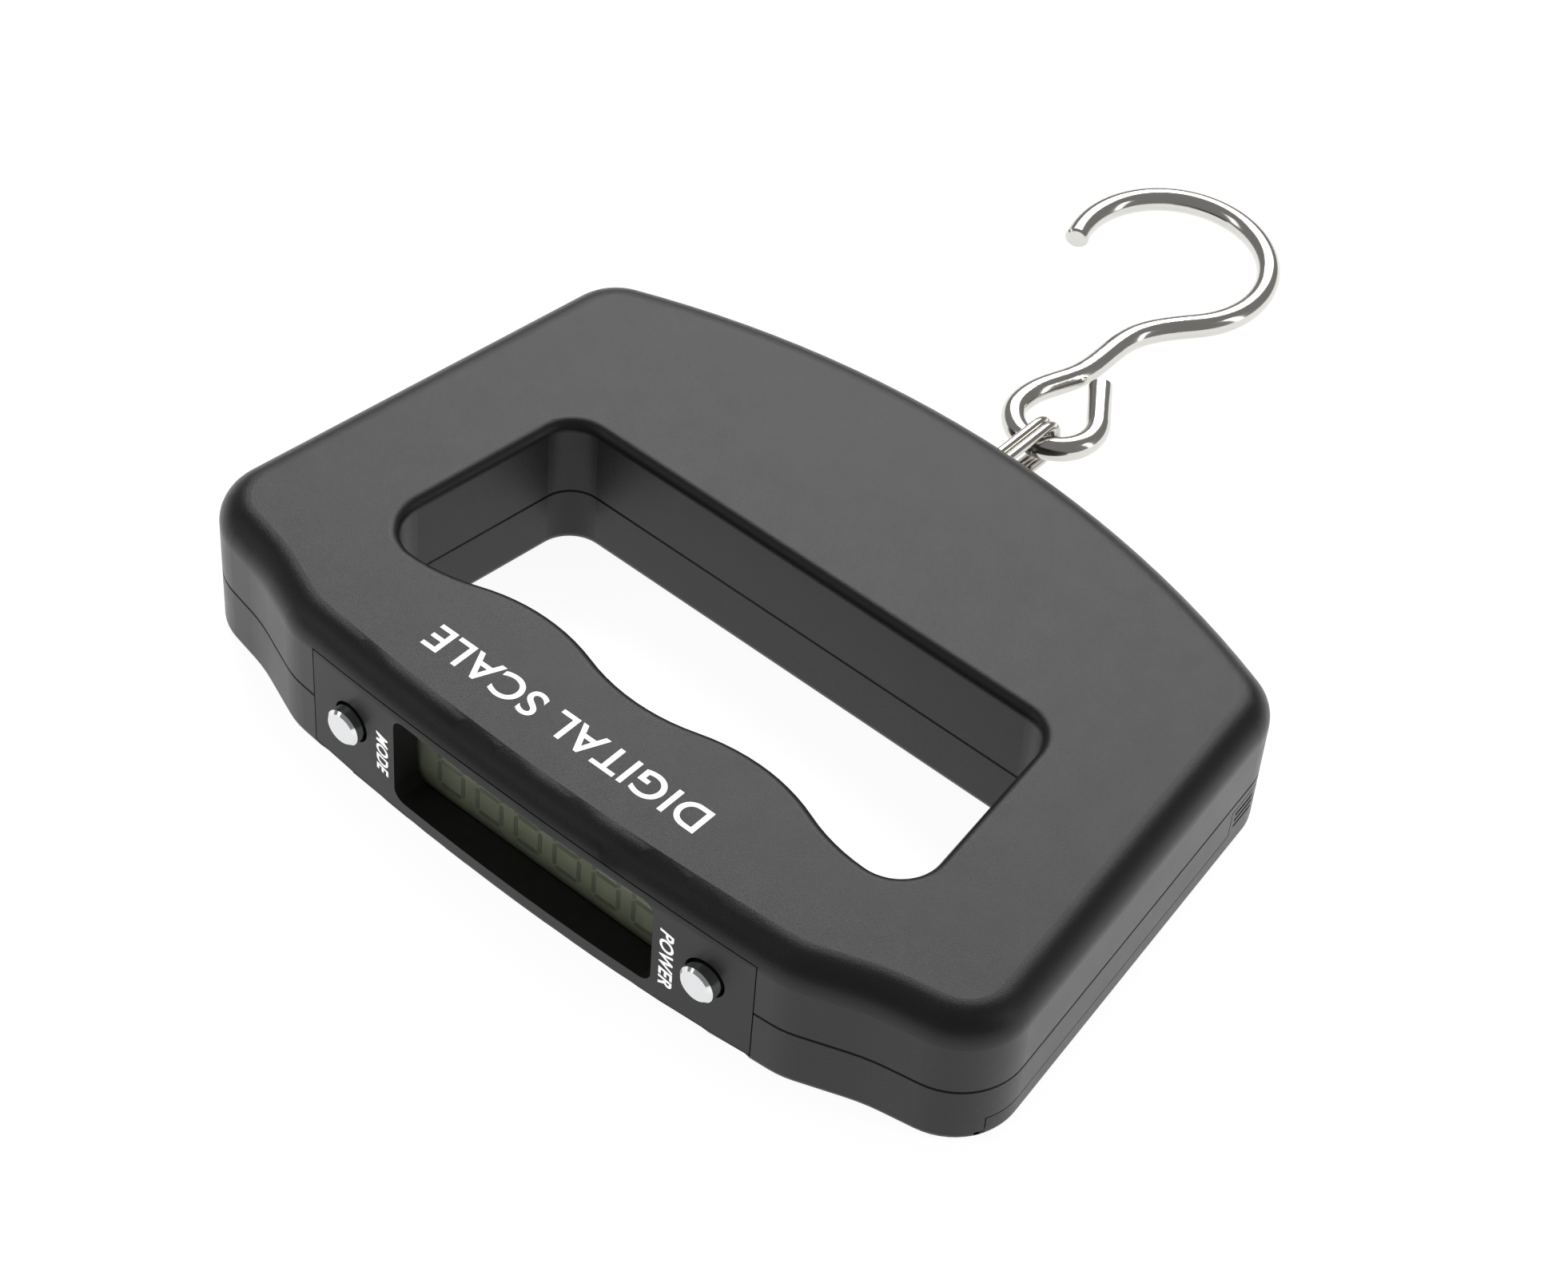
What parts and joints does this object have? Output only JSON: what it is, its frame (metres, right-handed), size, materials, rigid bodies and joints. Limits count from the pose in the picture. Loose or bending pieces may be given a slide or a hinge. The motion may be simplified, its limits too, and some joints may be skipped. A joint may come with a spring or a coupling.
{
  "type": "digital luggage scale",
  "caption": "Hand-held hanging luggage scale: closed grip ring with a display bar, two buttons, a side battery door, and a hook on a split link from a load cell.",
  "frame": {"origin": "on the flat back face, on the middle plane, under the centre of the load cell", "axes": "+Z out of the front face, -Y towards the display side, +Y towards the hook, +X to the right seen from the display side with the front face up"},
  "size_m": [0.1466, 0.1842, 0.0242],
  "materials": {
    "case_black": "fine-grained moulded ABS",
    "door_black": "fine-grained moulded ABS",
    "bezel_black": "smooth satin moulding",
    "lens_clear": "clear",
    "lcd_glass": "polarised display glass",
    "lcd_green": "grey-green reflector",
    "zebra_rubber": "silicone",
    "board_green": "solder mask",
    "chip_epoxy": "epoxy",
    "switch_plastic": "moulded",
    "button_chrome": "polished plating",
    "screw_steel": "zinc plated",
    "cell_aluminium": "milled",
    "gauge_foil": "foil on polyimide",
    "pin_steel": "ground",
    "link_steel": "nickel plated",
    "hook_chrome": "nickel plated",
    "battery_wrap": "shrink sleeve",
    "contact_nickel": "nickel plated",
    "lead_insulation": "PVC",
    "lead_red": "PVC"
  },
  "bodies": {
    "case": {"front_shell": "case_black", "rear_shell": "case_black", "display_bezel": "bezel_black", "lcd_window": "lens_clear", "lcd_front_glass": "lcd_glass", "lcd_rear_glass": "lcd_glass", "lcd_reflector": "lcd_green", "zebra_strip": "zebra_rubber", "main_pcb": "board_green", "chip_blob": "chip_epoxy", "board_parts": "chip_epoxy", "switch_bodies": "switch_plastic", "pcb_screws": "screw_steel", "shell_screws": "screw_steel", "load_cell": "cell_aluminium", "strain_gauges": "gauge_foil", "load_cell_screws": "screw_steel", "link_pin": "pin_steel", "battery_cells": "battery_wrap", "contact_plates": "contact_nickel", "contact_springs": "contact_nickel", "load_cell_leads": "lead_insulation", "battery_leads": "lead_red"},
    "unit_key": {"unit_button": "button_chrome", "unit_plunger": "switch_plastic"},
    "tare_key": {"tare_button": "button_chrome", "tare_plunger": "switch_plastic"},
    "door": {"battery_door": "door_black"},
    "link": {"link_ring": "link_steel"},
    "hook": {"hook": "hook_chrome"}
  },
  "joints": [
    {"name": "unit_press", "type": "slide", "parent": "case", "child": "unit_key", "axis": [0, 1, 0], "range_m": [0, 0.0005], "stiffness_N_per_m": 1500},
    {"name": "tare_press", "type": "slide", "parent": "case", "child": "tare_key", "axis": [0, 1, 0], "range_m": [0, 0.0005], "stiffness_N_per_m": 1500},
    {"name": "door_slide", "type": "slide", "parent": "case", "child": "door", "axis": [0.9925, 0.1223, 0], "range_m": [0, 0.03]},
    {"name": "link_swing", "type": "hinge", "parent": "case", "child": "link", "pos_m": [-0.0004, 0.015, 0.0105], "axis": [1, 0, 0], "range_deg": [-15, 15]},
    {"name": "hook_swing", "type": "hinge", "parent": "link", "child": "hook", "pos_m": [-0.0004, 0.0348, 0.0105], "axis": [1, 0, 0], "range_deg": [-75, 75]}
  ]
}
